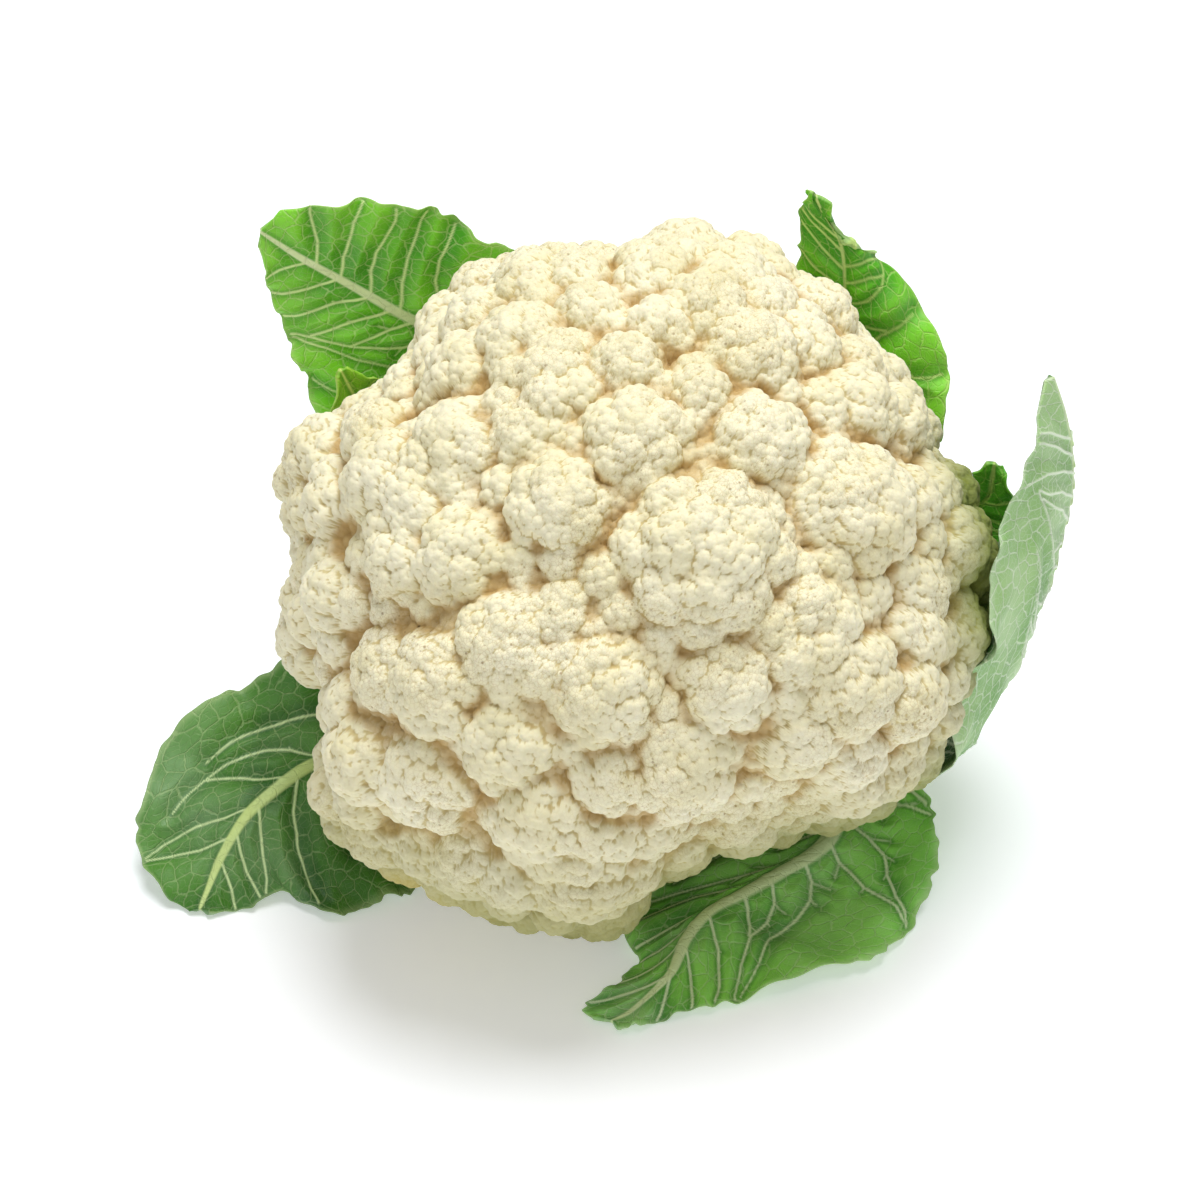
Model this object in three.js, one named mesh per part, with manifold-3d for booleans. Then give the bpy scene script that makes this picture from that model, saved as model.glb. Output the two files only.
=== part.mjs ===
// Cauliflower: a lobed white curd lying tipped back on its cut stalk, with the leaves left on.
// Millimetres, +Z up. The head's own axis leans towards -Y, and the origin is under the middle
// of the whole head's box.
import * as THREE from "three";
import { mergeVertices } from "three/addons/utils/BufferGeometryUtils.js";
import Module from "manifold-3d";

const wasm = await Module();
wasm.setup();

// Head
const LEAN = 40; // degrees from upright to the head's axis
const HEAD_CENTRE = new THREE.Vector3(-1, 0, 82);
const HEAD_RADIUS = 92.5; // across the axis, over the florets
const HEAD_RISE = 77; // along the axis, upper half
const HEAD_DROP = 80; // along the axis, lower half at the rim
// Where the outline is fuller or thinner: [degrees round the axis, share of the radius, spread].
const SWELLS = [
  [240, 0.06, 24], [206, -0.05, 12], [300, -0.09, 26], [286, -0.12, 17], [275, -0.05, 7],
  [305, -0.03, 6], [238, -0.04, 7], [218, 0.1, 8], [201, -0.08, 7], [177, -0.12, 5], [164, 0.04, 6],
  [150, -0.07, 7], [138, -0.1, 8], [124, -0.05, 7], [95, -0.07, 6], [70, 0.01, 20], [42, -0.08, 8],
  [20, -0.07, 7], [5, 0.03, 6], [337, 0.03, 8],
];
const CORE_SHARE = 0.86; // the solid body under the florets, against the outline
const CORE_DROP = 60;
const CURD_DETAIL = 15; // subdivisions of the sphere the curd is pressed from

// Stalk
const STALK_RADIUS = 21;
const STALK_FLARE = 27;
const STALK_TOP = 54; // distance down the axis from the head's centre
const STALK_FOOT = 140; // beyond the ground, which cuts it
const GAP = 0.35; // clear space between neighbouring pieces

// Leaves
const BLADE = 1.1; // blade thickness
const LEAF_CLEARANCE = 3.6; // between a leaf and the curd
const ACROSS = [-1, -0.78, -0.52, -0.3, -0.13, 0, 0.13, 0.3, 0.52, 0.78, 1];
const LEAF_STEPS = 20;

// The crown's florets: [degrees off the axis, degrees round it, radius, how far it stands out].
const FLORETS = [
  [15, 88, 16, 3], [15, 171, 14, 3], [16, 262, 10, -6], [16, 332, 24, 7], [19, 233, 13, -6],
  [28, 63, 8, 0], [28, 128, 9, -2], [28, 141, 11, 0], [28, 281, 10, -5], [29, 33, 14, 3],
  [31, 93, 10, 1], [34, 8, 6, -2], [34, 259, 15, 3], [35, 191, 14, 2], [35, 224, 14, 3],
  [36, 114, 10, 0], [37, 301, 14, 2], [39, 155, 14, 2], [39, 336, 11, -4], [41, 83, 9, 0],
  [43, 57, 14, 2], [43, 174, 12, 2], [45, 121, 14, 2], [46, 6, 18, 3], [46, 34, 8, -1],
  [46, 101, 10, 0], [46, 187, 12, 1], [48, 72, 13, 2], [48, 220, 15, 3], [49, 239, 16, 3],
  [50, 134, 14, 1], [50, 263, 11, 0], [51, 167, 13, 2], [51, 280, 18, 3], [53, 31, 12, 2],
  [53, 49, 12, 1], [53, 325, 16, 4], [54, 310, 13, 2], [55, 85, 12, 0], [56, 8, 10, 0],
  [57, 102, 10, 0], [57, 210, 13, 1], [59, 157, 10, 0], [59, 251, 14, 2], [60, 111, 12, 0],
  [61, 70, 13, 1], [61, 123, 12, 0], [61, 351, 12, -2], [62, 341, 10, -1], [63, 229, 16, 3],
  [64, 27, 10, 0], [64, 40, 10, 1], [65, 189, 10, 0], [65, 271, 12, -1], [65, 290, 10, -5],
  [65, 331, 12, 3], [66, 171, 10, 0], [66, 301, 10, -5], [66, 317, 12, 1], [67, 11, 9, -2],
  [68, 181, 9, -1], [69, 197, 8, 0], [69, 219, 12, 0], [70, 2, 11, 0], [70, 53, 11, 0],
  [70, 210, 10, 0], [73, 260, 16, 2], [73, 311, 11, -5], [74, 250, 11, 0], [75, 242, 13, 0],
  [75, 268, 10, 0], [86, 226, 11, -1],
];
// Rings of plain florets carry the curd round to its underside: [degrees off the axis, count, radius].
const RINGS = [
  [80, 22, 11],
  [95, 20, 12],
  [110, 18, 12],
  [124, 15, 11],
  [137, 11, 10],
];

// The head's own directions: up its axis, to its side and to its back.
const radians = THREE.MathUtils.degToRad;
const AXIS = new THREE.Vector3(0, -Math.sin(radians(LEAN)), Math.cos(radians(LEAN)));
const SIDE = new THREE.Vector3(1, 0, 0);
const BACK = new THREE.Vector3().crossVectors(AXIS, SIDE);

function headDirection(polar, around) {
  const p = radians(polar);
  const a = radians(around);
  return new THREE.Vector3()
    .addScaledVector(SIDE, Math.sin(p) * Math.cos(a))
    .addScaledVector(BACK, Math.sin(p) * Math.sin(a))
    .addScaledVector(AXIS, Math.cos(p));
}

// How much fuller than a spheroid the head is, in a direction.
function swell(polar, around) {
  const total = SWELLS.reduce((sum, [centre, share, spread]) => {
    const off = THREE.MathUtils.euclideanModulo(around - centre + 180, 360) - 180;
    return sum + share * Math.exp(-((off / spread) ** 2));
  }, 0);
  return 1 + total * Math.sin(radians(polar)) ** 4;
}

// Distance from the head's centre to a spheroid of the given half sizes, along a unit direction.
function spheroid(direction, radius, rise, drop) {
  const along = direction.dot(AXIS);
  const half = along > 0 ? rise : drop;
  return 1 / Math.sqrt((1 - along * along) / radius ** 2 + along ** 2 / half ** 2);
}

function floretBall([polar, around, radius, lift]) {
  const direction = headDirection(polar, around);
  const outline = spheroid(direction, HEAD_RADIUS, HEAD_RISE, HEAD_DROP) * swell(polar, around);
  const reach = outline + lift;
  return { centre: direction.multiplyScalar(reach - radius), radius };
}

function ringFlorets() {
  return RINGS.flatMap(([polar, count, radius], ring) =>
    Array.from({ length: count }, (_, i) => {
      const around = ((i + 0.5 * (ring % 2)) * 360) / count + 5 * Math.sin(3.7 * i + ring);
      return [polar + 3 * Math.sin(2.3 * i), around, radius + 1.5 * Math.sin(5.1 * i), -0.5];
    }),
  );
}

const BALLS = [...FLORETS, ...ringFlorets()].map(floretBall);

// Outermost point of the florets and the core along a unit direction from the head's centre.
function curdReach(direction) {
  const polar = THREE.MathUtils.radToDeg(Math.acos(THREE.MathUtils.clamp(direction.dot(AXIS), -1, 1)));
  const around = THREE.MathUtils.radToDeg(Math.atan2(direction.dot(BACK), direction.dot(SIDE)));
  const shape = spheroid(direction, HEAD_RADIUS * CORE_SHARE, HEAD_RISE * CORE_SHARE, CORE_DROP);
  const core = shape * swell(polar, around);
  return BALLS.reduce((reach, { centre, radius }) => {
    const along = direction.dot(centre);
    const root = along * along - centre.lengthSq() + radius * radius;
    return root > 0 && along > 0 ? Math.max(reach, along + Math.sqrt(root)) : reach;
  }, core);
}

function toSolid(geometry) {
  const bare = geometry.clone();
  bare.deleteAttribute("normal");
  bare.deleteAttribute("uv");
  const merged = mergeVertices(bare, 1e-4);
  return new wasm.Manifold(
    new wasm.Mesh({
      numProp: 3,
      vertProperties: new Float32Array(merged.attributes.position.array),
      triVerts: new Uint32Array(merged.index.array),
    }),
  );
}

function toGeometry(solid) {
  const mesh = solid.getMesh();
  const geometry = new THREE.BufferGeometry();
  const positions = new Float32Array(mesh.vertProperties);
  geometry.setAttribute("position", new THREE.BufferAttribute(positions, 3));
  geometry.setIndex(new THREE.BufferAttribute(new Uint32Array(mesh.triVerts), 1));
  geometry.computeVertexNormals();
  return geometry;
}

const aboveGround = (solid) => solid.trimByPlane([0, 0, 1], 0);

// A turned piece on the head's axis; the profile is [radius, distance down the axis].
function turned(profile, segments) {
  const outline = profile.map(([r, down]) => new THREE.Vector2(r, -down)).reverse();
  const lathe = new THREE.LatheGeometry(outline, segments);
  const turn = new THREE.Quaternion().setFromUnitVectors(new THREE.Vector3(0, 1, 0), AXIS);
  return toSolid(lathe.applyQuaternion(turn).translate(...HEAD_CENTRE.toArray()));
}

function stalkProfile(grow) {
  return [
    [0, STALK_TOP - grow],
    [STALK_FLARE + grow, STALK_TOP - grow],
    [STALK_FLARE - 1 + grow, 64],
    [STALK_RADIUS + 1 + grow, 76],
    [STALK_RADIUS + grow, 88],
    [STALK_RADIUS + grow, STALK_FOOT],
    [0, STALK_FOOT],
  ];
}

function curdGeometry() {
  const ball = new THREE.IcosahedronGeometry(1, CURD_DETAIL);
  const position = ball.attributes.position;
  const point = new THREE.Vector3();
  for (let i = 0; i < position.count; i++) {
    point.fromBufferAttribute(position, i).normalize();
    point.multiplyScalar(curdReach(point)).add(HEAD_CENTRE);
    position.setXYZ(i, point.x, point.y, point.z);
  }
  return toGeometry(aboveGround(toSolid(ball)).subtract(turned(stalkProfile(GAP), 40)));
}

// Leaves are lofted over three curves of matching points: one margin, the midrib and the other
// margin. crown is how far each half arches, wave is the ripple of the margins (height, number of
// waves, phase), ribHeight is the midrib's thickness at the foot and ribWidth how far it spreads.
const LEAVES = {
  lower_left_leaf: {
    rib: [[-24, 50, 9], [-48, 35, 12], [-66, 20, 15], [-78.8, 8, 17], [-87, 1, 17.5],
      [-94.5, -7.5, 17], [-99.5, -13, 15.5], [-103, -17.5, 13], [-107, -23.5, 8.5],
      [-109.5, -29.5, 4.5], [-111.5, -34, 1.6]],
    left: [[-25, 55, 12], [-54, 48, 22], [-74, 36, 32], [-88, 27, 36], [-103.5, 22.5, 29],
      [-117.5, 14.5, 24], [-125.5, 3.5, 18], [-128, -7.5, 13], [-128.5, -16.5, 7.5],
      [-122.5, -27.5, 3.5], [-114, -34.5, 1.5]],
    right: [[-22, 45, 7], [-40, 20, 5], [-49, -6, 2.5], [-56.5, -26.5, 1], [-63.5, -30.5, 1],
      [-71.5, -34.5, 1], [-78.5, -36, 1], [-86.5, -30.5, 3.5], [-94.5, -29.5, 1.5], [-102.5, -34.5, 1],
      [-109, -35, 1]],
    crown: [2.5, 2], wave: [1.6, 5, 0.4], ribHeight: 5.5, ribWidth: 4,
  },
  lower_right_leaf: {
    rib: [[24, 50, 9], [43, 31, 9], [53, 4, 9.5], [50, -17, 9.5], [38, -28, 8.5], [25, -38, 8],
      [18.5, -43, 8], [12.5, -52, 7], [8.5, -62, 5.5], [-1, -72, 2.5], [-6, -74.5, 1.5]],
    left: [[19, 46, 6], [31, 26, 4.5], [33, 12, 3.4], [24, -3, 2.4], [10, -20, 1.6], [0, -35, 1.3],
      [-2, -47, 1.2], [1, -54, 2], [-5, -64, 4], [-12.5, -70, 2.5], [-11, -73.5, 1.6]],
    right: [[26.5, 52.5, 9.5], [53, 33, 11], [74, 2, 14.5], [78.5, -20, 8], [72, -39, 1.5],
      [58, -56, 1], [46, -59, 3.5], [29, -66, 1], [13, -71.5, 1], [-1, -76.8, 1], [-4.5, -77, 1]],
    crown: [1, 2.5], wave: [1, 5, 1.5], ribHeight: 5.5, ribWidth: 4,
  },
  right_tall_leaf: {
    rib: [[24.6, 63, 16.5], [55, 47, 27], [84, 26, 34], [96.5, 16, 50], [103.5, 14, 66], [106, 14, 82],
      [107.8, 14, 98], [107.2, 13, 110], [104.5, 11, 124], [100.4, 9, 137]],
    left: [[22.5, 60, 13], [50, 41, 20], [73, -12, 27], [75, -27, 40], [78, -29, 60], [83, -29, 84],
      [86.5, -22, 103], [90, -15, 113], [95, -4, 126], [99.6, 7.5, 137.5]],
    right: [[26, 65.5, 20], [58, 59, 36], [83, 44, 44], [91.5, 39, 56], [100, 36, 71], [103.5, 33, 85],
      [106, 26, 98], [106.8, 18, 110], [104, 13, 124], [100.6, 10.5, 136.5]],
    crown: [5, 3], wave: [1, 4, 2.4], ribHeight: 5.5, ribWidth: 4,
  },
  right_small_leaf: {
    rib: [[20.5, 67.6, 24], [42, 61, 52], [66, 57, 66], [84, 50, 68], [92, 44, 75], [93, 43, 83],
      [93, 43, 87]],
    left: [[17.5, 69, 26], [36, 66, 56], [60, 60, 68], [82, 51, 72], [87.5, 47, 77], [88.5, 45, 83],
      [91, 43.5, 87]],
    right: [[23, 65.5, 21.5], [48, 55, 48], [74, 49, 56], [94, 40, 60], [99, 39, 72], [98, 41, 81],
      [95, 42.5, 86]],
    crown: [1.5, 1.5], wave: [0.8, 3, 0], ribHeight: 3.6, ribWidth: 3,
  },
  upper_right_leaf: {
    rib: [[10.6, 74, 29], [25, 77, 60], [42, 78, 87], [51, 73, 103], [55, 68, 114], [54, 66, 126],
      [52, 64, 141], [47, 60, 153], [45, 58.5, 158]],
    left: [[6.5, 75, 30.5], [14, 79, 66], [24, 80, 98], [33, 76, 113], [39, 71, 124], [41.5, 65, 134],
      [41, 61, 148], [42, 59, 157], [43.5, 58, 159.5]],
    right: [[14.6, 73, 28], [38, 74, 57], [70, 62, 76], [79.5, 53, 87], [80.5, 56, 100],
      [78.5, 63, 112], [64, 69, 132], [51, 62.5, 144], [49, 59.5, 156]],
    crown: [1, 3], wave: [1.4, 5.5, 1], ribHeight: 4.6, ribWidth: 3.4,
  },
  upper_left_leaf: {
    rib: [[-10.6, 74, 29], [-25, 83, 60], [-44, 83, 86], [-52, 74, 107], [-63, 71, 117],
      [-75, 70, 126], [-86, 69, 134], [-95.5, 68, 142]],
    left: [[-14.6, 73, 28], [-38, 82, 49], [-66, 76, 64], [-80, 70, 79], [-86, 66, 97], [-90, 67, 111],
      [-94, 68, 122], [-96, 68, 137]],
    right: [[-6.5, 75, 30.5], [-12, 79, 64], [-18, 82, 98], [-27, 77, 125], [-38, 74, 137],
      [-53, 71, 147], [-72, 70, 150.5], [-90, 69, 147]],
    crown: [2, 2.5], wave: [1, 6, 0], ribHeight: 5.5, ribWidth: 4.2,
  },
  upper_left_small_leaf: {
    rib: [[-20.5, 67.6, 24], [-40, 61, 51], [-62, 60.5, 76], [-71, 55, 96], [-73.5, 51, 105],
      [-75.5, 49, 112]],
    left: [[-23, 65, 21], [-47, 54, 46], [-72, 51, 70], [-79, 45, 89], [-78, 45.5, 99],
      [-76.5, 48, 110.5]],
    right: [[-18, 69.5, 26.5], [-35, 67, 54], [-56, 63, 79], [-62, 59, 94], [-65, 55, 104],
      [-73.5, 50, 112]],
    crown: [1.2, 1.2], wave: [0.7, 4, 0], ribHeight: 3.2, ribWidth: 2.6,
  },
};

// Stumps of trimmed leaves behind the head: degrees round the axis, distance down it, length and
// half width.
const STUMPS = {
  back_stump: [90, 100, 40, 7],
  left_stump: [172, 86, 34, 7],
  back_left_stump: [134, 103, 30, 6.5],
  back_right_stump: [49, 98, 34, 6.5],
};

function headPoint(around, radius, down) {
  const a = radians(around);
  return HEAD_CENTRE.clone()
    .addScaledVector(SIDE, radius * Math.cos(a))
    .addScaledVector(BACK, radius * Math.sin(a))
    .addScaledVector(AXIS, -down);
}

function stumpCurves([around, down, length, half]) {
  const stations = [0, 0.33, 0.67, 1];
  const turnAt = (radius) => THREE.MathUtils.radToDeg(half / radius);
  const curve = (sense) =>
    stations.map((s) => {
      const radius = 24.8 + 0.8 * length * s;
      const turn = sense * turnAt(radius) * (1 - 0.15 * s);
      return headPoint(around + turn, radius, down - 0.62 * length * s).toArray();
    });
  const section = { crown: [1, 1], wave: [0, 0, 0], ribHeight: 5, ribWidth: half, stump: true };
  return { left: curve(1), rib: curve(0), right: curve(-1), ...section };
}

const smoothCurve = (points) =>
  new THREE.CatmullRomCurve3(points.map((p) => new THREE.Vector3(...p)), false, "catmullrom", 0.5);

function clearOfCurd(point, half) {
  const out = point.clone().sub(HEAD_CENTRE);
  const distance = out.length();
  out.normalize();
  point.addScaledVector(out, Math.max(0, curdReach(out) + LEAF_CLEARANCE + half - distance));
  point.z = Math.max(point.z, 0.9);
  return point;
}

function ripple(leaf, s, v) {
  const [height, waves, phase] = leaf.wave;
  return height * v * v * Math.sin(2 * Math.PI * waves * s + phase + v);
}

// Middle surface of a leaf as rows of points along the midrib, each row running from margin to margin.
function leafRows(leaf, steps) {
  const [left, rib, right] = [leaf.left, leaf.rib, leaf.right].map(smoothCurve);
  return Array.from({ length: steps + 1 }, (_, i) => {
    const s = i / steps;
    const [l, m, r] = [left, rib, right].map((curve) => curve.getPoint(s));
    const facing = rib.getTangent(s).cross(r.clone().sub(l)).normalize();
    const rise = Math.sin(Math.PI * Math.min(1, s + 0.15));
    return ACROSS.map((v) => {
      const q = Math.abs(v);
      const margin = v < 0 ? l : r;
      const arch = leaf.crown[v < 0 ? 0 : 1] * 4 * q * (1 - q) * rise;
      const point = m.clone().lerp(margin, q).addScaledVector(facing, ripple(leaf, s, v) - arch);
      return clearOfCurd(point, halfThickness(leaf, s, q * margin.distanceTo(m)));
    });
  });
}

// Half thickness of a leaf: a swollen midrib that fades towards the tip and the margins. A stump is
// a bare leaf stalk, thick right across.
function halfThickness(leaf, s, offset) {
  const across = (offset / leaf.ribWidth) ** 2;
  if (leaf.stump) {
    return (leaf.ribHeight / 2) * Math.sqrt(Math.max(0.25, 1 - 0.8 * across));
  }
  return (BLADE + (leaf.ribHeight - BLADE) * (1 - 0.75 * s) * Math.exp(-across)) / 2;
}

function rowNormal(rows, i, j) {
  const up = rows[Math.min(i + 1, rows.length - 1)][j].clone().sub(rows[Math.max(i - 1, 0)][j]);
  const row = rows[i];
  const over = row[Math.min(j + 1, row.length - 1)].clone().sub(row[Math.max(j - 1, 0)]);
  return up.cross(over).normalize();
}

function leafGeometry(leaf) {
  const steps = leaf.stump ? 5 : LEAF_STEPS;
  const rows = leafRows(leaf, steps);
  const columns = ACROSS.length;
  const middle = (columns - 1) / 2;
  const positions = [];
  for (const face of [1, -1]) {
    rows.forEach((row, i) =>
      row.forEach((point, j) => {
        const half = halfThickness(leaf, i / steps, point.distanceTo(row[middle]));
        positions.push(...point.clone().addScaledVector(rowNormal(rows, i, j), face * half).toArray());
      }),
    );
  }
  return toGeometry(aboveGround(shell(positions, rows.length, columns)));
}

// Closed solid from two grids of points, the first on the outer face and the second on the inner.
function shell(positions, rowCount, columns) {
  const at = (face, i, j) => face * rowCount * columns + i * columns + j;
  const triangles = [];
  const quad = (a, b, c, d) => triangles.push(a, b, c, a, c, d);
  for (let i = 0; i < rowCount - 1; i++) {
    for (let j = 0; j < columns - 1; j++) {
      quad(at(0, i, j), at(0, i + 1, j), at(0, i + 1, j + 1), at(0, i, j + 1));
      quad(at(1, i, j), at(1, i, j + 1), at(1, i + 1, j + 1), at(1, i + 1, j));
    }
    quad(at(0, i, 0), at(1, i, 0), at(1, i + 1, 0), at(0, i + 1, 0));
    const last = columns - 1;
    quad(at(0, i, last), at(0, i + 1, last), at(1, i + 1, last), at(1, i, last));
  }
  for (let j = 0; j < columns - 1; j++) {
    quad(at(0, 0, j), at(0, 0, j + 1), at(1, 0, j + 1), at(1, 0, j));
    const end = rowCount - 1;
    quad(at(0, end, j), at(1, end, j), at(1, end, j + 1), at(0, end, j + 1));
  }
  return new wasm.Manifold(
    new wasm.Mesh({
      numProp: 3,
      vertProperties: new Float32Array(positions),
      triVerts: new Uint32Array(triangles),
    }),
  );
}

const CURD_COLOUR = 0xefe6cb;
const STALK_COLOUR = 0xdfe3bd;
const STUMP_COLOUR = 0xcfdca8;
const LEAF_COLOURS = {
  lower_left_leaf: 0x3c6b3c,
  lower_right_leaf: 0x477a45,
  right_tall_leaf: 0xa9cfa4,
  right_small_leaf: 0x2f6424,
  upper_right_leaf: 0x3f8c2c,
  upper_left_leaf: 0x45882f,
  upper_left_small_leaf: 0x6f9a2c,
};

function piece(name, geometry, color, roughness) {
  const material = new THREE.MeshStandardMaterial({ color, roughness, metalness: 0 });
  const mesh = new THREE.Mesh(geometry, material);
  mesh.name = name;
  return mesh;
}

const group = new THREE.Group();
group.name = "cauliflower";
group.add(piece("curd", curdGeometry(), CURD_COLOUR, 0.75));
group.add(piece("stalk", toGeometry(aboveGround(turned(stalkProfile(0), 40))), STALK_COLOUR, 0.6));
for (const [name, leaf] of Object.entries(LEAVES)) {
  group.add(piece(name, leafGeometry(leaf), LEAF_COLOURS[name], 0.55));
}
for (const [name, stump] of Object.entries(STUMPS)) {
  group.add(piece(name, leafGeometry(stumpCurves(stump)), STUMP_COLOUR, 0.6));
}

// The origin goes under the middle of the whole head.
const middle = new THREE.Box3().setFromObject(group).getCenter(new THREE.Vector3());
for (const mesh of group.children) {
  mesh.geometry.translate(-middle.x, -middle.y, 0);
}

export default group;
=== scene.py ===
"""A whole cauliflower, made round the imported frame: the curd, its cut stalk and the leaves left on it.

Shapes are worked out in millimetres in the part's own building frame and moved to the row frame at the end.
"""

import math

import bpy
import numpy as np
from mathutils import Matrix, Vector, kdtree
from numpy.linalg import norm


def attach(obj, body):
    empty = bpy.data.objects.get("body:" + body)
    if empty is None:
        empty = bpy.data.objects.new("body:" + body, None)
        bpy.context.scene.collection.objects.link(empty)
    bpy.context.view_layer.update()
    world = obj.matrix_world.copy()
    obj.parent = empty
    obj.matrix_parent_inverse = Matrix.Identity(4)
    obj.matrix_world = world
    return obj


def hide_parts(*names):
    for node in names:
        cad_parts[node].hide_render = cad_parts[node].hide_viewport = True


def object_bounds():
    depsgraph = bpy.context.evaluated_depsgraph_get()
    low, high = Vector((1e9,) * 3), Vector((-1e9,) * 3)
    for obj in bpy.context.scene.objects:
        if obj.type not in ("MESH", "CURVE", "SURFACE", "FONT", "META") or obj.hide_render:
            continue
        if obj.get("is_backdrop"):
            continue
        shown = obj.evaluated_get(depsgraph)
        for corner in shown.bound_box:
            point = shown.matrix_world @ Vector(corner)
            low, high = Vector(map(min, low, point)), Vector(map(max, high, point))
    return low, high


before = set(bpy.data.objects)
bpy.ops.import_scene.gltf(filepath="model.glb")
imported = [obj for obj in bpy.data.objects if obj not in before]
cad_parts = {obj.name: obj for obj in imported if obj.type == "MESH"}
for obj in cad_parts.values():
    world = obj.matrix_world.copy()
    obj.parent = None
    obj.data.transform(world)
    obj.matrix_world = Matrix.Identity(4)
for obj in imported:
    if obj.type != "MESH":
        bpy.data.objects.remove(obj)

CAD_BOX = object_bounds()
METRE = 0.001
# From the frame that the head is worked out in to the row frame, whose origin is under the box's middle.
SHIFT = np.array([9.53, -4.261, 0.0])

# Head, as in the part's source.
LEAN = math.radians(40)
HEAD_CENTRE = np.array([-1.0, 0.0, 82.0])
HEAD_RADIUS = 92.5
HEAD_RISE = 77
HEAD_DROP = 80
# Fuller and hollower sides: degrees round the axis, share of the radius, degrees of spread.
SWELLS = [(240, 0.06, 24), (206, -0.05, 12), (300, -0.09, 26), (286, -0.12, 17), (275, -0.05, 7),
          (305, -0.03, 6), (238, -0.04, 7), (218, 0.1, 8), (201, -0.08, 7), (177, -0.12, 5),
          (164, 0.04, 6), (150, -0.07, 7), (138, -0.1, 8), (124, -0.05, 7), (95, -0.07, 6),
          (70, 0.01, 20), (42, -0.08, 8), (20, -0.07, 7), (5, 0.03, 6), (337, 0.03, 8)]
CORE_SHARE = 0.86
CORE_DROP = 60
FILL_SHARE = 0.87  # how much of the outline the head fills behind the florets
STALK_TOP = 54
STALK_FLARE = 27
STALK_NECK = 88
STALK_RADIUS = 21
GAP = 0.35

# Buds. Each floret is covered with lobes and each lobe with buds, so the balls shrink level by level.
LOBE_SHARE = 0.4  # a ball's covering balls against its own radius
BIG_BALL = 8  # balls above this radius carry lobes of that share, whatever their size
BUD_SIZES = (1.45, 2.3)  # the least and the most that the balls on a smaller ball measure
SMALLEST_LOBE = 2.9  # balls up to this radius are single buds
BUD_SINK, LOBE_SINK = 0.8, 0.94  # how deep balls sit in the one they cover, in their own radii
COVER_SPREAD = 2.0  # radians from a ball's crown that its covering balls reach
CROWN_SIZE, SIZE_GROWTH = 0.8, 0.35  # covering balls are smaller on the crown and grow down the sides
SIZE_JITTER = (0.86, 1.14)
TILT_JITTER, TURN_JITTER = 0.12, 0.08
BALL_ROOM = 2.3  # surface that each covering ball takes, against its squared radius
FLOOR_SINK = 0.55  # how deep a covered ball lies under its balls' tops, in their radii
OUTWARD_PULL = 0.3  # how far a lobe's crown turns from its own ball's middle to the head's
FILLERS = 440
FILLER_RIM = 120  # degrees off the axis
FILLER_SIZES = (6, 8.5)
FILLER_LIFTS = (-4.6, -2.8)
CREASE_DEPTH, GAP_DEPTH, HOLLOW_DEPTH = 0.3, 1.0, 3.2  # depths at which the curd's painted shade in creases, gaps and hollows is full
# Painted shade with the leaves' green light on the curd, and patches where the curd has yellowed: strength,
# middle, spread.
LEAF_SHADE_PATCHES = [(2.2, (88, -2, 88), (15, 30, 30)), (0.9, (74, -30, 40), (20, 24, 14))]
AGED_PATCHES = [(0.9, (-54, -46, 20), (13, 16, 12))]

# Florets of the crown: degrees off the axis, degrees round it, radius, how far each stands out.
FLORETS = [
    (15, 88, 16, 3), (15, 171, 14, 3), (16, 262, 10, -6), (16, 332, 24, 7), (19, 233, 13, -6),
    (28, 63, 8, 0), (28, 128, 9, -2), (28, 141, 11, 0), (28, 281, 10, -5), (29, 33, 14, 3),
    (31, 93, 10, 1), (34, 8, 6, -2), (34, 259, 15, 3), (35, 191, 14, 2), (35, 224, 14, 3),
    (36, 114, 10, 0), (37, 301, 14, 2), (39, 155, 14, 2), (39, 336, 11, -4), (41, 83, 9, 0),
    (43, 57, 14, 2), (43, 174, 12, 2), (45, 121, 14, 2), (46, 6, 18, 3), (46, 34, 8, -1),
    (46, 101, 10, 0), (46, 187, 12, 1), (48, 72, 13, 2), (48, 220, 15, 3), (49, 239, 16, 3),
    (50, 134, 14, 1), (50, 263, 11, 0), (51, 167, 13, 2), (51, 280, 18, 3), (53, 31, 12, 2),
    (53, 49, 12, 1), (53, 325, 16, 4), (54, 310, 13, 2), (55, 85, 12, 0), (56, 8, 10, 0),
    (57, 102, 10, 0), (57, 210, 13, 1), (59, 157, 10, 0), (59, 251, 14, 2), (60, 111, 12, 0),
    (61, 70, 13, 1), (61, 123, 12, 0), (61, 351, 12, -2), (62, 341, 10, -1), (63, 229, 16, 3),
    (64, 27, 10, 0), (64, 40, 10, 1), (65, 189, 10, 0), (65, 271, 12, -1), (65, 290, 10, -5),
    (65, 331, 12, 3), (66, 171, 10, 0), (66, 301, 10, -5), (66, 317, 12, 1), (67, 11, 9, -2),
    (68, 181, 9, -1), (69, 197, 8, 0), (69, 219, 12, 0), (70, 2, 11, 0), (70, 53, 11, 0),
    (70, 210, 10, 0), (73, 260, 16, 2), (73, 311, 11, -5), (74, 250, 11, 0), (75, 242, 13, 0),
    (75, 268, 10, 0), (86, 226, 11, -1),
]
# Broad domes that the florets of one branch share, given in the same way.
DOMES = [
    (33, 123, 21, 1), (47, 170, 24, 0.5), (38, 232, 28, 0.5), (43, 326, 26, 1), (42, 10, 18, 1),
    (55, 68, 24, 1), (65, 257, 21, 0), (48, 280, 19, 0.5), (60, 82, 19, 0),
]
# Rings of plain florets under the crown: degrees off the axis, how many, radius.
RINGS = [(80, 22, 11), (95, 20, 12), (110, 18, 12), (124, 15, 11), (137, 11, 10)]

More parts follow.
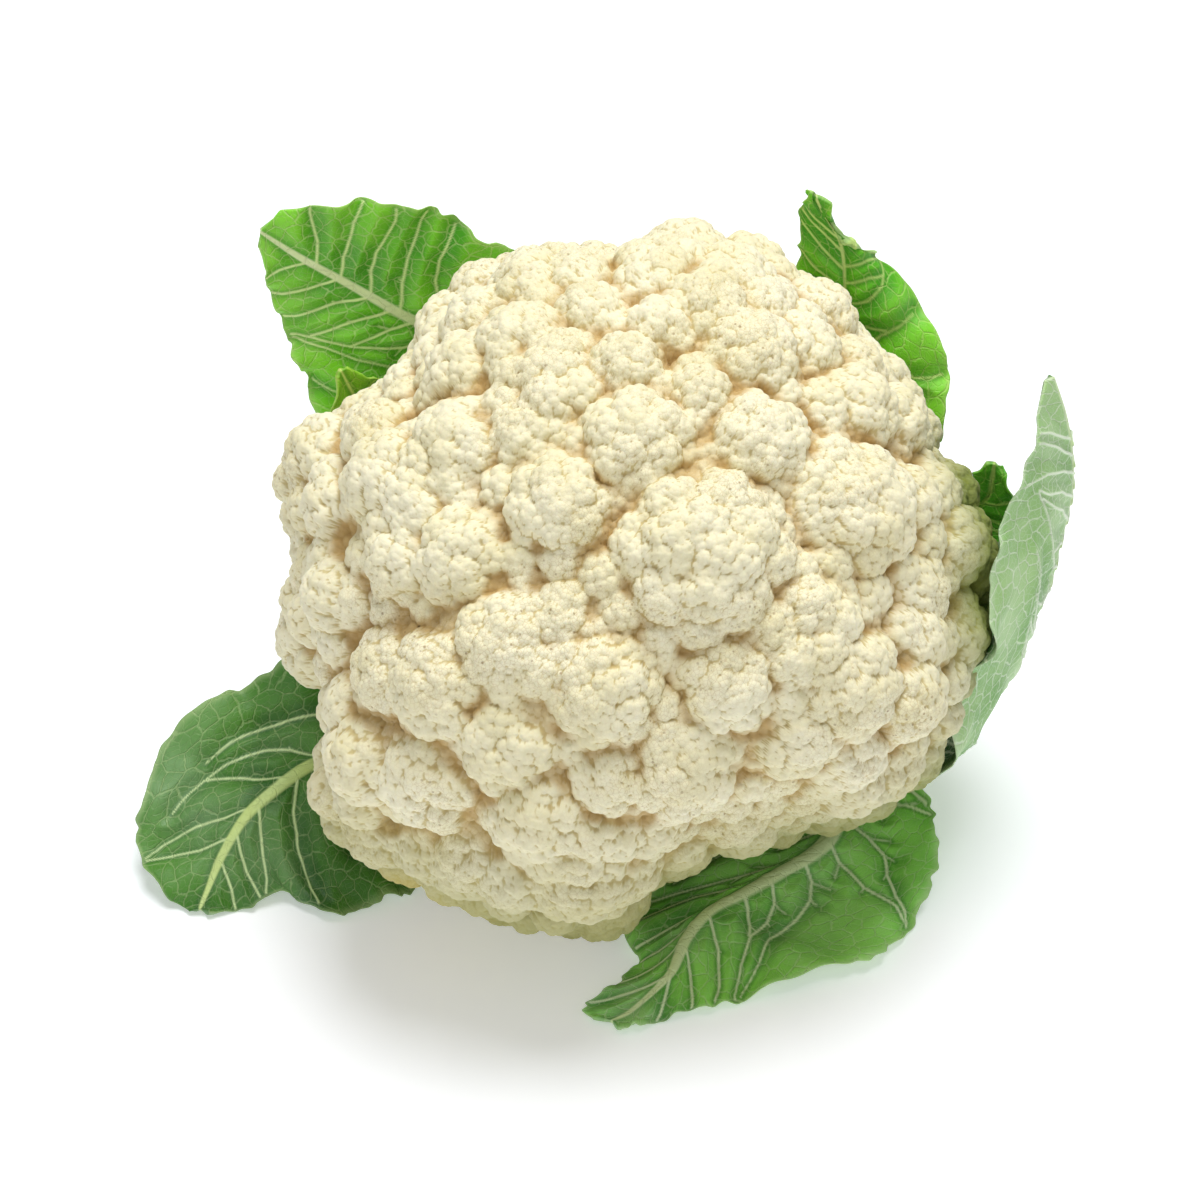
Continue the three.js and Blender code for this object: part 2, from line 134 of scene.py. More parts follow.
# Leaves, as in the part's source: three curves each, the arch of each half, the ripple (height, waves,
# phase) and the midrib's ridge (height, width).
BLADE = 1.1
BLADE_SHARE = 0.8  # the visible blade's thickness against the solid's, which leaves room for the veins
LEAF_CLEARANCE = 3.6
ACROSS = np.array([-1, -0.78, -0.52, -0.3, -0.13, 0, 0.13, 0.3, 0.52, 0.78, 1])
LEAF_STEPS = 20
STUMP_STEPS = 5
LEAF_FLOOR = 0.9  # height of the lowest middle surface over the table
TABLE_GAP = 0.15
LEAVES = {
    "lower_left_leaf": dict(
        rib=[(-24, 50, 9), (-48, 35, 12), (-66, 20, 15), (-78.8, 8, 17), (-87, 1, 17.5),
             (-94.5, -7.5, 17), (-99.5, -13, 15.5), (-103, -17.5, 13), (-107, -23.5, 8.5),
             (-109.5, -29.5, 4.5), (-111.5, -34, 1.6)],
        left=[(-25, 55, 12), (-54, 48, 22), (-74, 36, 32), (-88, 27, 36), (-103.5, 22.5, 29),
              (-117.5, 14.5, 24), (-125.5, 3.5, 18), (-128, -7.5, 13), (-128.5, -16.5, 7.5),
              (-122.5, -27.5, 3.5), (-114, -34.5, 1.5)],
        right=[(-22, 45, 7), (-40, 20, 5), (-49, -6, 2.5), (-56.5, -26.5, 1), (-63.5, -30.5, 1),
               (-71.5, -34.5, 1), (-78.5, -36, 1), (-86.5, -30.5, 3.5), (-94.5, -29.5, 1.5),
               (-102.5, -34.5, 1), (-109, -35, 1)],
        crown=(2.5, 2), wave=(1.6, 5, 0.4), ridge=(5.5, 4)),
    "lower_right_leaf": dict(
        rib=[(24, 50, 9), (43, 31, 9), (53, 4, 9.5), (50, -17, 9.5), (38, -28, 8.5), (25, -38, 8),
             (18.5, -43, 8), (12.5, -52, 7), (8.5, -62, 5.5), (-1, -72, 2.5), (-6, -74.5, 1.5)],
        left=[(19, 46, 6), (31, 26, 4.5), (33, 12, 3.4), (24, -3, 2.4), (10, -20, 1.6), (0, -35, 1.3),
              (-2, -47, 1.2), (1, -54, 2), (-5, -64, 4), (-12.5, -70, 2.5), (-11, -73.5, 1.6)],
        right=[(26.5, 52.5, 9.5), (53, 33, 11), (74, 2, 14.5), (78.5, -20, 8), (72, -39, 1.5),
               (58, -56, 1), (46, -59, 3.5), (29, -66, 1), (13, -71.5, 1), (-1, -76.8, 1),
               (-4.5, -77, 1)],
        crown=(1, 2.5), wave=(1, 5, 1.5), ridge=(5.5, 4)),
    "right_tall_leaf": dict(
        rib=[(24.6, 63, 16.5), (55, 47, 27), (84, 26, 34), (96.5, 16, 50), (103.5, 14, 66),
             (106, 14, 82), (107.8, 14, 98), (107.2, 13, 110), (104.5, 11, 124), (100.4, 9, 137)],
        left=[(22.5, 60, 13), (50, 41, 20), (73, -12, 27), (75, -27, 40), (78, -29, 60), (83, -29, 84),
              (86.5, -22, 103), (90, -15, 113), (95, -4, 126), (99.6, 7.5, 137.5)],
        right=[(26, 65.5, 20), (58, 59, 36), (83, 44, 44), (91.5, 39, 56), (100, 36, 71),
               (103.5, 33, 85), (106, 26, 98), (106.8, 18, 110), (104, 13, 124), (100.6, 10.5, 136.5)],
        crown=(5, 3), wave=(1, 4, 2.4), ridge=(5.5, 4)),
    "right_small_leaf": dict(
        rib=[(20.5, 67.6, 24), (42, 61, 52), (66, 57, 66), (84, 50, 68), (92, 44, 75), (93, 43, 83),
             (93, 43, 87)],
        left=[(17.5, 69, 26), (36, 66, 56), (60, 60, 68), (82, 51, 72), (87.5, 47, 77), (88.5, 45, 83),
              (91, 43.5, 87)],
        right=[(23, 65.5, 21.5), (48, 55, 48), (74, 49, 56), (94, 40, 60), (99, 39, 72), (98, 41, 81),
               (95, 42.5, 86)],
        crown=(1.5, 1.5), wave=(0.8, 3, 0), ridge=(3.6, 3)),
    "upper_right_leaf": dict(
        rib=[(10.6, 74, 29), (25, 77, 60), (42, 78, 87), (51, 73, 103), (55, 68, 114), (54, 66, 126),
             (52, 64, 141), (47, 60, 153), (45, 58.5, 158)],
        left=[(6.5, 75, 30.5), (14, 79, 66), (24, 80, 98), (33, 76, 113), (39, 71, 124), (41.5, 65, 134),
              (41, 61, 148), (42, 59, 157), (43.5, 58, 159.5)],
        right=[(14.6, 73, 28), (38, 74, 57), (70, 62, 76), (79.5, 53, 87), (80.5, 56, 100),
               (78.5, 63, 112), (64, 69, 132), (51, 62.5, 144), (49, 59.5, 156)],
        crown=(1, 3), wave=(1.4, 5.5, 1), ridge=(4.6, 3.4)),
    "upper_left_leaf": dict(
        rib=[(-10.6, 74, 29), (-25, 83, 60), (-44, 83, 86), (-52, 74, 107), (-63, 71, 117),
             (-75, 70, 126), (-86, 69, 134), (-95.5, 68, 142)],
        left=[(-14.6, 73, 28), (-38, 82, 49), (-66, 76, 64), (-80, 70, 79), (-86, 66, 97),
              (-90, 67, 111), (-94, 68, 122), (-96, 68, 137)],
        right=[(-6.5, 75, 30.5), (-12, 79, 64), (-18, 82, 98), (-27, 77, 125), (-38, 74, 137),
               (-53, 71, 147), (-72, 70, 150.5), (-90, 69, 147)],
        crown=(2, 2.5), wave=(1, 6, 0), ridge=(5.5, 4.2)),
    "upper_left_small_leaf": dict(
        rib=[(-20.5, 67.6, 24), (-40, 61, 51), (-62, 60.5, 76), (-71, 55, 96), (-73.5, 51, 105),
             (-75.5, 49, 112)],
        left=[(-23, 65, 21), (-47, 54, 46), (-72, 51, 70), (-79, 45, 89), (-78, 45.5, 99),
              (-76.5, 48, 110.5)],
        right=[(-18, 69.5, 26.5), (-35, 67, 54), (-56, 63, 79), (-62, 59, 94), (-65, 55, 104),
               (-73.5, 50, 112)],
        crown=(1.2, 1.2), wave=(0.7, 4, 0), ridge=(3.2, 2.6)),
}
# Stumps: degrees round the axis, how far down the stalk they start, length, half width.
STUMPS = {
    "back_stump": (90, 100, 40, 7),
    "left_stump": (172, 86, 34, 7),
    "back_left_stump": (134, 103, 30, 6.5),
    "back_right_stump": (49, 98, 34, 6.5),
}

# Stumps' strings and torn ends, and the scars that trimmed leaves left on the stalk.
STRING_HEIGHT, STRING_PITCH = 0.22, 2.3
TEAR, TEAR_CELL = 1.5, 2.2
SCARS, FIRST_SCAR, SCAR_PITCH, SCAR_WIDTH = 14, 74, 4.2, 9
FOOT_RINGS = (0.94, 0.8, 0.55, 0.3, 0.1)  # shares of the foot's outline

# Relief of the blades.
QUILT_WIDTH = 3.2  # distance from a vein at which the blade's puckers are near full height
FRILL_CELL = 9
BILLOW, BILLOW_CELL = 1.2, 17
NOTCHES = [(1.5, 2.2), (1.2, 8)]  # the margin's notches: depth, size
RIM_SHARE = 0.35  # thickness left at the margin
VEIN_RELIEF = (0.16, 0.45)  # how far veins stand out of the upper side and the under side

# Side veins: distances along them, angles in radians.
VEIN_STEP = 0.4
VEIN_NODES = (6, 12)  # distance between branches
VEIN_BEND = (-0.01, -0.003)  # turn per millimetre, towards the tip
VEIN_TURN = (0.3, 0.6)
VEIN_ORDERS = 3
VEIN_REACH = 0.95  # share of the half blade that a vein may cross
VEIN_START, VEIN_JOIN = 3, 0.6  # a vein this long ends where it comes this near another
THINNEST_VEIN = 0.2
BRANCH_SHARE = 0.62

GOLDEN_ANGLE = math.pi * (3 - math.sqrt(5))
CURD_CELLS = 250
VALLEY_ROUNDS = 260  # blurs that leave only the head's broad shape
FRONT_DENSITY = 0.78  # how much closer together the curd's points are on its crown
CURD_SEED, LEAF_SEED, STUMP_SEED = 7, 11, 200
BLADE_STEP = 0.45
FEWEST_CELLS = 12

AXIS = np.array([0, -math.sin(LEAN), math.cos(LEAN)])
SIDE = np.array([1.0, 0, 0])
BACK = np.cross(AXIS, SIDE)


# ---- numbers ----

def unit(v):
    return v / norm(v, axis=-1, keepdims=True)


def smooth(low, high, x):
    t = np.clip((x - low) / (high - low), 0, 1)
    return t * t * (3 - 2 * t)


def value_noise(points, cell, seed):
    """Smooth noise from 0 to 1 with features about one cell across."""
    table = np.random.default_rng(seed).random((32, 32, 32))
    p = points / cell
    base = np.floor(p).astype(int)
    f = p - base
    f = f * f * (3 - 2 * f)
    total = 0
    for corner in np.ndindex(2, 2, 2):
        corner = np.array(corner)
        weight = np.prod(np.where(corner, f, 1 - f), axis=-1)
        i, j, k = np.moveaxis((base + corner) % 32, -1, 0)
        total = total + weight * table[i, j, k]
    return total


# ---- the head's shape ----

def head_direction(polar, around):
    p, a = math.radians(polar), math.radians(around)
    return math.sin(p) * math.cos(a) * SIDE + math.sin(p) * math.sin(a) * BACK + math.cos(p) * AXIS


def spheroid(directions, radius, rise, drop):
    along = directions @ AXIS
    half = np.where(along > 0, rise, drop)
    return 1 / np.sqrt((1 - along**2) / radius**2 + along**2 / half**2)


def fullness(directions):
    """How much fuller than a spheroid the head is, along each ray."""
    around = np.degrees(np.arctan2(directions @ BACK, directions @ SIDE))
    square = 1 - (directions @ AXIS) ** 2
    total = sum(share * np.exp(-((((around - centre + 180) % 360 - 180) / spread) ** 2))
                for centre, share, spread in SWELLS)
    return 1 + total * square**2


def core_reach(directions):
    core = spheroid(directions, HEAD_RADIUS * CORE_SHARE, HEAD_RISE * CORE_SHARE, CORE_DROP)
    return core * fullness(directions)


def outline_reach(directions):
    """The smooth outline that the florets' tops stand near."""
    return spheroid(directions, HEAD_RADIUS, HEAD_RISE, HEAD_DROP) * fullness(directions)


def floret_ball(polar, around, radius, lift):
    direction = head_direction(polar, around)
    return direction * (outline_reach(direction) + lift - radius), radius


def ring_florets():
    for ring, (polar, count, radius) in enumerate(RINGS):
        for i in range(count):
            around = (i + 0.5 * (ring % 2)) * 360 / count + 5 * math.sin(3.7 * i + ring)
            yield polar + 3 * math.sin(2.3 * i), around, radius + 1.5 * math.sin(5.1 * i), -0.5


BALLS = [floret_ball(*floret) for floret in [*FLORETS, *ring_florets()]]
BALL_CENTRES = np.array([centre for centre, _ in BALLS])
BALL_RADII = np.array([radius for _, radius in BALLS])


def ray_hits(directions, centres, radii):
    """How far out each ray from the head's centre leaves each ball, 0 where it misses."""
    along = directions @ centres.T
    root = along**2 - (centres**2).sum(1) + radii**2
    return np.where((root > 0) & (along > 0), along + np.sqrt(np.maximum(root, 0)), 0)


def curd_reach(directions):
    hits = ray_hits(directions, BALL_CENTRES, BALL_RADII).max(1)
    return np.maximum(hits, core_reach(directions))


# ---- the curd ----

def cube_sphere(n):
    """Unit directions of a cube blown up into a sphere, its quads, and each corner's place on an atlas."""
    steps = np.arange(n + 1)
    i, j = [g.ravel() for g in np.meshgrid(steps, steps, indexing="ij")]
    quad = np.array([(0, 0), (1, 0), (1, 1), (0, 1)])
    qi, qj = [g.ravel() for g in np.meshgrid(steps[:-1], steps[:-1], indexing="ij")]
    lattice, quads, atlas = [], [], []
    for face in range(6):
        axis, high = face % 3, face // 3
        point = np.zeros((len(i), 3), int)
        point[:, axis] = n * high
        point[:, (axis + 1) % 3] = i
        point[:, (axis + 2) % 3] = j
        order = quad if high else quad[::-1]
        corners = np.stack([(qi + a) * (n + 1) + qj + b for a, b in order], 1)
        quads.append(corners + face * len(i))
        cell = np.array([face % 3, face // 3])
        inset = 0.004 + 0.992 * np.stack([i, j], 1) / n
        atlas.append(((cell + inset) / (3, 2))[corners])
        lattice.append(point)
    lattice, quads, atlas = np.concatenate(lattice), np.concatenate(quads), np.concatenate(atlas)
    key = lattice @ np.array([(n + 1) ** 2, n + 1, 1])
    _, first, welded = np.unique(key, return_index=True, return_inverse=True)
    cube = np.tan((lattice[first] / n * 2 - 1) * math.pi / 4)
    return unit(cube), welded[quads], atlas


def crowd(directions, share):
    """Slides directions towards +Z, which keeps the shape of each small square."""
    flat = directions[:, :2] * share / np.maximum(1 + directions[:, 2:], 1e-9)
    square = (flat**2).sum(1, keepdims=True)
    moved = np.concatenate([2 * flat, 1 - square], 1) / (1 + square)
    return np.where(directions[:, 2:] < -1 + 1e-6, directions, moved)


def basis(outward):
    """Two directions square to an outward one, and that one."""
    outward = unit(outward)
    helper = np.array([1.0, 0, 0]) if abs(outward[0]) < 0.8 else np.array([0, 1.0, 0])
    first = unit(np.cross(outward, helper))
    return np.array([first, np.cross(outward, first), outward])


def spiral_balls(centre, radius, outward, size, sink, rng):
    """Smaller balls spread over a ball by the golden angle, from its crown down its sides."""
    axes = basis(outward)
    turn = rng.uniform(0, 2 * math.pi)
    centres, radii = [], []
    used = 0.0
    while True:
        drop = used / (2 * math.pi * radius**2)
        if drop > 1 - math.cos(COVER_SPREAD):
            return np.array(centres), np.array(radii)
        tilt = math.acos(1 - drop)
        ball = size * (CROWN_SIZE + SIZE_GROWTH * (tilt / COVER_SPREAD)) * rng.uniform(*SIZE_JITTER)
        tilt += rng.normal(0, TILT_JITTER) * ball / radius
        turn += GOLDEN_ANGLE + rng.normal(0, TURN_JITTER)
        place = np.array([math.sin(tilt) * math.cos(turn), math.sin(tilt) * math.sin(turn), math.cos(tilt)])
        centres.append(centre + (place @ axes) * (radius - sink * ball))
        radii.append(ball)
        used += BALL_ROOM * ball**2


def within(directions, centre, radius):
    """Which rays pass near enough to a ball to touch it."""
    distance = norm(centre)
    return directions @ (centre / distance) > math.cos(math.asin(min(0.99, (radius + 0.6) / distance)))


def bud_size(radius):
    """Size of the balls that cover a ball of this radius."""
    size = radius * LOBE_SHARE
    return size if radius > BIG_BALL else min(BUD_SIZES[1], max(BUD_SIZES[0], size))


def cover(rays, reach, tone, centre, radius, outward, rng):
    """Raises the rays' reach to a ball and to the smaller balls that cover it, level by level."""
    size = bud_size(radius)
    floor = radius - FLOOR_SINK * size
    np.maximum(reach, ray_hits(rays, centre[None], np.array([floor]))[:, 0], out=reach)
    last = size <= SMALLEST_LOBE
    balls = spiral_balls(centre, radius, outward, size, BUD_SINK if last else LOBE_SINK, rng)
    if last:
        hits = ray_hits(rays, *balls).max(1)
        wins = hits > reach
        reach[wins] = hits[wins]
        tone[wins] = rng.random()
        return
    for ball, ball_radius in zip(*balls):
        near = np.flatnonzero(within(rays, ball, ball_radius))
        if len(near):
            best, mood = reach[near], tone[near]
            facing = unit(ball - centre) + OUTWARD_PULL * unit(ball)
            cover(rays[near], best, mood, ball, ball_radius, facing, rng)
            reach[near] = best
            tone[near] = mood


def filler_florets(rng):
    """Small florets low between the others."""
    rim = 1 - math.cos(math.radians(FILLER_RIM))
    for k in range(FILLERS):
        polar = math.degrees(math.acos(1 - (k + 0.5) / FILLERS * rim))
        around = math.degrees(k * GOLDEN_ANGLE) % 360
        yield polar, around, rng.uniform(*FILLER_SIZES), rng.uniform(*FILLER_LIFTS)


def grow_buds(directions):
    """Reach of the curd along each ray with all its lobes and buds, and each lobe's tone."""
    rng = np.random.default_rng(CURD_SEED)
    upper = smooth(-0.55, -0.2, directions @ AXIS)
    reach = np.maximum(core_reach(directions), outline_reach(directions) * FILL_SHARE * upper)
    tone = np.full(len(directions), 0.5)
    fillers = [floret_ball(*floret) for floret in filler_florets(rng)]
    for centre, radius in [*BALLS, *[floret_ball(*dome) for dome in DOMES], *fillers]:
        near = np.flatnonzero(within(directions, centre, radius))
        best, mood = reach[near], tone[near]
        cover(directions[near], best, mood, centre, radius, centre, rng)
        reach[near] = best
        tone[near] = mood
    return reach, tone


def blur(values, quads, rounds):
    """Values averaged over neighbouring vertices, a number of times."""
    count = len(values)
    a = np.concatenate([quads[:, 0], quads[:, 1], quads[:, 2], quads[:, 3]])
    b = np.concatenate([quads[:, 1], quads[:, 2], quads[:, 3], quads[:, 0]])
    degree = np.bincount(a, minlength=count)
    for _ in range(rounds):
        values = 0.3 * values + 0.7 * np.bincount(a, values[b], count) / degree
    return values


def make_curd():
    directions, quads, atlas = cube_sphere(CURD_CELLS)
    directions = crowd(directions, FRONT_DENSITY) @ np.array([SIDE, BACK, AXIS])
    reach, tone = grow_buds(directions)
    down = -(directions @ AXIS)
    across = np.sqrt(np.maximum(0, 1 - down**2))
    in_pit = (down > 0) & (across * STALK_TOP < (STALK_FLARE + GAP) * down)
    reach = np.where(in_pit, np.minimum(reach, (STALK_TOP - GAP) / np.maximum(down, 0.1)), reach)
    soft = blur(reach, quads, 1)
    near = blur(reach, quads, 3)
    fine = blur(reach, quads, 8)
    wide = blur(fine, quads, VALLEY_ROUNDS)
    points = HEAD_CENTRE + directions * (0.75 * reach + 0.25 * soft)[:, None]
    points[:, 2] = np.maximum(points[:, 2], 0)
    mesh = new_mesh("curd", points, quads)
    # Masks for painted shade: how deep each point lies in a crease between buds, a gap between lobes and a
    # hollow between florets.
    put(mesh, "crease", np.clip((near - reach) / CREASE_DEPTH, 0, 1))
    put(mesh, "gap", np.clip((fine - reach) / GAP_DEPTH, 0, 1))
    put(mesh, "hollow", np.clip((wide - fine) / HOLLOW_DEPTH + 0.1, 0, 1))
    # Painted shade: the curd turns darker and more olive towards the bottom.
    put(mesh, "low", smooth(80, 8, points[:, 2]))
    put(mesh, "tone", tone)
    put(mesh, "stem", smooth(0.74, 0.92, down))
    # Painted shade and green light thrown by the leaves beside the curd; the aged patch is the curd's own
    # yellowing.
    put(mesh, "green", patches(points, LEAF_SHADE_PATCHES))
    put(mesh, "aged", patches(points, AGED_PATCHES))
    set_uv(mesh, "OFBake", atlas.reshape(-1, 2))
    add_piece("curd_florets", mesh, "curd", curd_material())


def patches(points, rows):
    """How strongly soft round patches tint each point."""
    tints = [strength * np.exp(-(((points - np.array(middle)) / spread) ** 2).sum(1))
             for strength, middle, spread in rows]
    return np.clip(sum(tints), 0, 1)


# ---- meshes ----

def new_mesh(name, points, faces):
    """A smooth-shaded mesh in the row frame, in metres, from points in the building frame."""
    mesh = bpy.data.meshes.new(name)
    faces = np.asarray(faces)
    mesh.vertices.add(len(points))
    mesh.vertices.foreach_set("co", ((points + SHIFT) * METRE).astype(np.float32).ravel())
    mesh.loops.add(faces.size)
    mesh.loops.foreach_set("vertex_index", faces.astype(np.int32).ravel())
    mesh.polygons.add(len(faces))
    starts = np.arange(0, faces.size, faces.shape[1], dtype=np.int32)
    mesh.polygons.foreach_set("loop_start", starts)
    mesh.polygons.foreach_set("use_smooth", np.ones(len(faces), bool))
    mesh.update(calc_edges=True)
    mesh.validate()
    return mesh


def put(mesh, name, values):
    attribute = mesh.attributes.new(name, "FLOAT", "POINT")
    attribute.data.foreach_set("value", np.asarray(values, np.float32).ravel())


def put_on_faces(mesh, name, values, shape):
    """Puts the same grid of values on both faces of a shell."""
    put(mesh, name, np.concatenate([np.broadcast_to(values, shape).ravel()] * 2))


def set_uv(mesh, name, corners):
    layer = mesh.uv_layers.new(name=name)
    layer.data.foreach_set("uv", np.asarray(corners, np.float32).ravel())


def add_object(name, data):
    item = bpy.data.objects.new(name, data)
    bpy.context.scene.collection.objects.link(item)
    return item


def add_piece(name, mesh, node, material):
    mesh.materials.append(material)
    piece = add_object(name, mesh)
    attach(piece, "root")
    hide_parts(node)


# ---- leaves ----

def spline(values, t, axis=0):
    """Catmull-Rom interpolation at fractional positions t along one axis: the values and their slopes."""
    v = np.moveaxis(np.asarray(values, float), axis, 0)
    v = np.concatenate([2 * v[:1] - v[1:2], v, 2 * v[-1:] - v[-2:-1]])
    i = np.minimum(t.astype(int), len(v) - 4)
    w = (t - i).reshape((-1,) + (1,) * (v.ndim - 1))
    x0, x1, x2, x3 = v[i], v[i + 1], v[i + 2], v[i + 3]
    t0, t1 = (x2 - x0) / 2, (x3 - x1) / 2
    c2, c3 = 3 * (x2 - x1) - 2 * t0 - t1, 2 * (x1 - x2) + t0 + t1
    place, slope = x1 + w * (t0 + w * (c2 + w * c3)), t0 + w * (2 * c2 + w * 3 * c3)
    return np.moveaxis(place, 0, axis), np.moveaxis(slope, 0, axis)


def half_thickness(leaf, s, offset):
    """Half the solid's thickness at a share along the leaf and a distance from its midrib."""
    height, width = leaf["ridge"]
    across = (offset / width) ** 2
    if leaf.get("stump"):
        return height / 2 * np.sqrt(np.maximum(0.25, 1 - 0.8 * across))
    return (BLADE + (height - BLADE) * (1 - 0.75 * s) * np.exp(-across)) / 2


def leaf_frame(leaf, steps):
    """The leaf's middle surface as the part has it: rows along the midrib, eleven points across each."""
    s = np.linspace(0, 1, steps + 1)
    curves = {key: spline(leaf[key], s * (len(leaf[key]) - 1)) for key in ("left", "right", "rib")}
    left, right = curves["left"][0], curves["right"][0]
    rib, tangent = curves["rib"]
    facing = unit(np.cross(tangent, right - left))[:, None]
    v = ACROSS[None, :, None]
    q = abs(v)
    s = s[:, None, None]
    margin = np.where(v < 0, left[:, None], right[:, None])
    height, waves, phase = leaf["wave"]
    ripple = height * q**2 * np.sin(2 * math.pi * waves * s + phase + v)
    crown = np.where(v < 0, *leaf["crown"])
    arch = crown * 4 * q * (1 - q) * np.sin(math.pi * np.minimum(1, s + 0.15))
    points = rib[:, None] * (1 - q) + margin * q + facing * (ripple - arch)
    offset = q * norm(margin - rib[:, None], axis=-1, keepdims=True)
    out = points - HEAD_CENTRE
    distance = norm(out, axis=-1, keepdims=True)
    out = out / distance
    reach = curd_reach(out.reshape(-1, 3)).reshape(distance.shape)
    push = reach + LEAF_CLEARANCE + half_thickness(leaf, s, offset) - distance
    points = points + out * np.maximum(0, push)
    points[..., 2] = np.maximum(points[..., 2], LEAF_FLOOR)
    return points, rib, left, right


def inward_normals(points):
    """Normals of a grid of points, on the side that faces the head."""
    normals = unit(np.cross(np.gradient(points, axis=0), np.gradient(points, axis=1)))
    return -normals if ((HEAD_CENTRE - points) * normals).sum(-1).mean() < 0 else normals


def fine_grid(leaf, steps):
    """A leaf's middle surface at full detail, its normals, each row's share and distance along the midrib,
    each column's place across, the two halves' widths, and distances across the blade."""
    coarse, rib, left, right = leaf_frame(leaf, steps)
    stretches = norm(np.diff(rib, axis=0), axis=1)
    widths = [norm(margin - rib, axis=1) for margin in (left, right)]
    rows = max(FEWEST_CELLS, int(stretches.sum() / BLADE_STEP))
    columns = max(FEWEST_CELLS, int(sum(width.max() for width in widths) / BLADE_STEP))
    v = np.linspace(-1, 1, columns)
    rows_at = np.linspace(0, steps, rows)
    points = spline(coarse, rows_at)[0]
    points = spline(points, np.interp(v, ACROSS, np.arange(len(ACROSS))), 1)[0]
    stations = np.arange(steps + 1)
    y = np.interp(rows_at, stations, np.concatenate([[0], np.cumsum(stretches)]))
    wide = [np.interp(rows_at, stations, width) for width in widths]
    across = np.where(v < 0, wide[0][:, None], wide[1][:, None]) * v
    return points, inward_normals(points), rows_at[:, None] / steps, v, y, wide, across


def walk_vein(start, side, edge, taken, rng):
    """One side vein, step by step in the flattened blade: its points, and the branches that leave it."""
    x, y, heading, half, depth = start
    travelled, to_node = 0.0, rng.uniform(*VEIN_NODES)
    bend = rng.uniform(*VEIN_BEND)
    path, branches = [], []
    while half > THINNEST_VEIN:
        x += VEIN_STEP * math.sin(heading)
        y += VEIN_STEP * math.cos(heading)
        travelled += VEIN_STEP
        reach = edge(y)
        near = ((taken - (x, y)) ** 2).sum(1) < VEIN_JOIN**2
        joined = travelled > VEIN_START and near.any()
        if reach is None or x > VEIN_REACH * reach or x < 0:
            break
        path.append((side * x, y, half, depth))
        if joined:
            break
        heading += bend * VEIN_STEP
        half -= VEIN_STEP * (0.0045 + 0.004 * depth)
        to_node -= VEIN_STEP
        if to_node < 0:
            to_node = rng.uniform(*VEIN_NODES) - depth
            turn = rng.choice([-1, 1]) * rng.uniform(*VEIN_TURN)
            if depth < VEIN_ORDERS:
                branches.append((x, y, heading - 1.2 * turn, half * BRANCH_SHARE, depth + 1))
            heading = min(2.0, max(0.15, heading + 0.5 * turn))
    return path, branches


def side_veins(y, wide, rng, spacing, size):
    """Every side vein of a leaf as rows of across, along, half width, branching depth."""
    out = []
    for side, width in zip((-1, 1), wide):
        def edge(at, width=width):
            return float(np.interp(at, y, width)) if y[0] < at < y[-1] else None
        starts = []
        at = y[-1] * 0.12 + rng.uniform(0, spacing)
        while at < y[-1] * 0.9:
            late = at / y[-1]
            starts.append((0.0, at, rng.uniform(1.1, 1.32) - 0.34 * late, size * (0.54 - 0.22 * late), 0))
            at += spacing * rng.uniform(0.75, 1.25) * (1 - 0.45 * late)
        taken = np.zeros((0, 2))
        while starts:
            path, branches = walk_vein(starts.pop(0), side, edge, taken, rng)
            if path:
                taken = np.concatenate([taken, np.array(path)[:, :2] * (side, 1)])
            out += path
            starts += branches
    return np.array(out)


def nearest_vein(points, y, v, wide, veins):
    """Distance of each point to its nearest side vein, and that vein's half width and depth."""
    rows = np.interp(veins[:, 1], y, np.arange(len(y)))
    left, right = [np.interp(veins[:, 1], y, half) for half in wide]
    width = np.where(veins[:, 0] < 0, left, right)
    columns = np.interp(veins[:, 0] / width, v, np.arange(len(v)))
    i, j = np.minimum(rows.astype(int), len(y) - 2), np.minimum(columns.astype(int), len(v) - 2)
    a, b = (rows - i)[:, None], (columns - j)[:, None]
    low = points[i, j] * (1 - b) + points[i, j + 1] * b
    high = points[i + 1, j] * (1 - b) + points[i + 1, j + 1] * b
    tree = kdtree.KDTree(len(veins))
    for k, place in enumerate(low * (1 - a) + high * a):
        tree.insert(place, k)
    tree.balance()
    found = [tree.find(p) for p in points.reshape(-1, 3)]
    distance = np.array([f[2] for f in found]).reshape(points.shape[:2])
    index = np.array([f[1] for f in found]).reshape(points.shape[:2])
    return distance, veins[index, 2], veins[index, 3]


